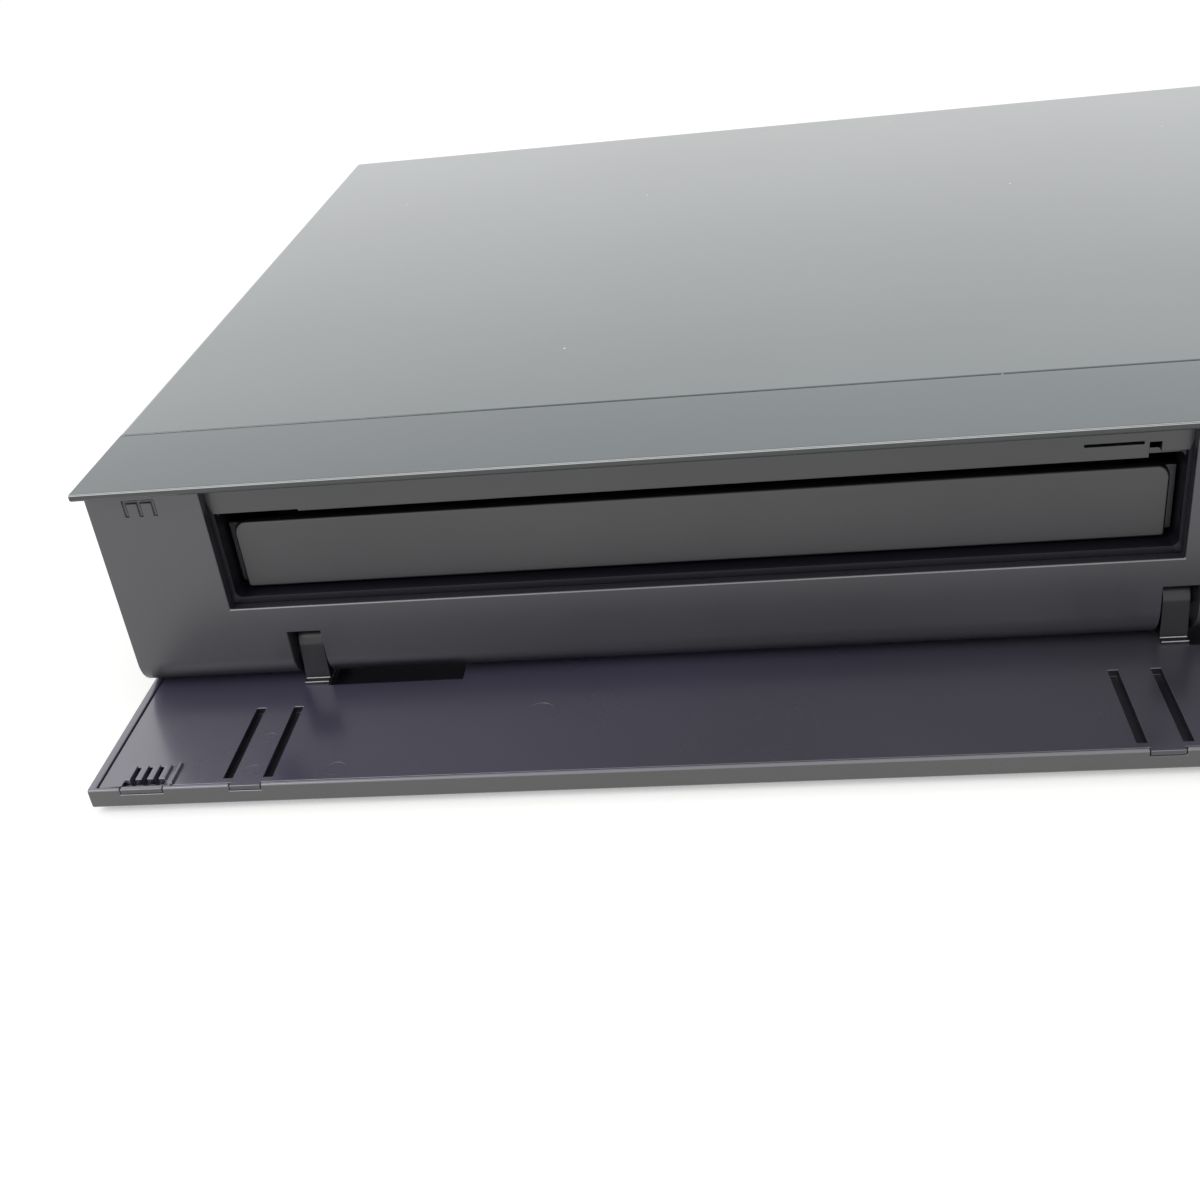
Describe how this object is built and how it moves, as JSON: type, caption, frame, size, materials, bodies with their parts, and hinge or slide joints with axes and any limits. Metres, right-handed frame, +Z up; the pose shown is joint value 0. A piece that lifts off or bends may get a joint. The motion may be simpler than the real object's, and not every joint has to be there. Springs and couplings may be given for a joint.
{
  "type": "blu-ray recorder",
  "caption": "Slim home disc recorder with a fold-down front door, a motor-driven disc tray and rear sockets.",
  "frame": {"origin": "on the table, below the middle of the recorder with its door folded down", "axes": "+X to the viewer's right along the front, +Y to the back, +Z up"},
  "size_m": [0.4332, 0.2308, 0.0446],
  "materials": {
    "black_paint": "satin black paint",
    "zinc_steel": "galvanised",
    "black_plastic": "satin moulded",
    "dark_plastic": "glossy moulded",
    "door_plastic": "semi-gloss moulded",
    "smoked_window": "polished",
    "grey_plastic": "moulded",
    "drive_plastic": "moulded",
    "circuit_board": "solder mask",
    "rubber": "matt",
    "steel": "ground",
    "nickel": "nickel plated",
    "cast": "cast and machined",
    "black_anodised": "black anodised",
    "gear_plastic": "moulded",
    "lens_glass": "polished",
    "capacitor_sleeve": "sleeve",
    "transformer_tape": "tape and ferrite"
  },
  "bodies": {
    "recorder": {"ac_inlet": "drive_plastic", "antenna_terminals": "nickel", "bottom_chassis": "zinc_steel", "button_board": "circuit_board", "capacitors": "capacitor_sleeve", "card_reader": "steel", "clamp_bridge": "zinc_steel", "cover_screws": "steel", "display_module": "grey_plastic", "display_window": "smoked_window", "drive_belt": "rubber", "drive_board": "circuit_board", "drive_frame": "drive_plastic", "fan_frame": "drive_plastic", "foot_front_left": "rubber", "foot_front_right": "rubber", "foot_rear_left": "rubber", "foot_rear_right": "rubber", "front_board": "circuit_board", "front_panel": "black_plastic", "front_usb_socket": "nickel", "guide_rods": "steel", "hard_disk": "cast", "hdd_bracket": "zinc_steel", "hdd_dampers": "rubber", "hdmi_socket": "nickel", "heat_sink": "black_anodised", "io_board": "circuit_board", "lan_socket": "nickel", "loading_motor": "steel", "main_board": "circuit_board", "power_board": "circuit_board", "power_heat_sink": "cast", "rear_panel": "zinc_steel", "rear_usb_socket": "nickel", "sled_motor": "steel", "spindle_motor": "steel", "top_cover": "black_paint", "top_strip": "black_paint", "transformer": "transformer_tape", "traverse": "zinc_steel", "traverse_dampers": "rubber", "tray_surround": "dark_plastic", "tuner_can": "zinc_steel"},
    "front_door": {"door_shell": "door_plastic", "door_liner": "door_plastic", "door_arms": "door_plastic"},
    "disc_tray": {"tray": "drive_plastic", "tray_plate": "black_plastic"},
    "power_key": {"power_button": "black_plastic"},
    "eject_key": {"eject_button": "black_plastic"},
    "spindle": {"turntable": "black_anodised"},
    "clamp": {"clamper": "drive_plastic"},
    "laser_sled": {"pickup": "drive_plastic", "pickup_lens": "lens_glass"},
    "sled_screw": {"lead_screw": "steel"},
    "tray_gear": {"loading_gear": "gear_plastic"},
    "tray_motor": {"motor_pulley": "gear_plastic"},
    "fan": {"fan_rotor": "drive_plastic"}
  },
  "joints": [
    {"name": "door_hinge", "type": "hinge", "parent": "recorder", "child": "front_door", "pos_m": [0, -0.08328, 0.0109], "axis": [1, 0, 0], "range_deg": [-90, 0]},
    {"name": "tray_slide", "type": "slide", "parent": "recorder", "child": "disc_tray", "axis": [0, -1, 0], "range_m": [0, 0.14]},
    {"name": "power_press", "type": "slide", "parent": "recorder", "child": "power_key", "axis": [0, 0, -1], "range_m": [0, 0.0008], "stiffness_N_per_m": 400},
    {"name": "eject_press", "type": "slide", "parent": "recorder", "child": "eject_key", "axis": [0, 0, -1], "range_m": [0, 0.0008], "stiffness_N_per_m": 400},
    {"name": "spindle_spin", "type": "hinge", "parent": "recorder", "child": "spindle", "pos_m": [-0.1204, -0.01597, 0.024], "axis": [0, 0, 1], "continuous": true},
    {"name": "clamp_spin", "type": "hinge", "parent": "recorder", "child": "clamp", "pos_m": [-0.1204, -0.01597, 0.036], "axis": [0, 0, 1], "continuous": true},
    {"name": "pickup_slide", "type": "slide", "parent": "recorder", "child": "laser_sled", "axis": [0, 1, 0], "range_m": [0, 0.033]},
    {"name": "screw_spin", "type": "hinge", "parent": "recorder", "child": "sled_screw", "pos_m": [-0.1584, 0.01702, 0.0192], "axis": [0, 1, 0], "range_deg": [0, 3970]},
    {"name": "gear_spin", "type": "hinge", "parent": "recorder", "child": "tray_gear", "pos_m": [-0.1624, -0.05948, 0.022], "axis": [0, 0, 1], "range_deg": [0, 672]},
    {"name": "motor_spin", "type": "hinge", "parent": "recorder", "child": "tray_motor", "pos_m": [-0.1284, -0.05948, 0.02], "axis": [0, 0, 1], "range_deg": [0, 2140]},
    {"name": "fan_spin", "type": "hinge", "parent": "recorder", "child": "fan", "pos_m": [-0.066, 0.09932, 0.0233], "axis": [0, 1, 0], "continuous": true}
  ],
  "couplings": [
    {"joint": "gear_spin", "follows": "tray_slide", "rad_per_m": 83.333},
    {"joint": "motor_spin", "follows": "tray_slide", "rad_per_m": 266.26},
    {"joint": "screw_spin", "follows": "pickup_slide", "rad_per_m": 2094.4}
  ]
}
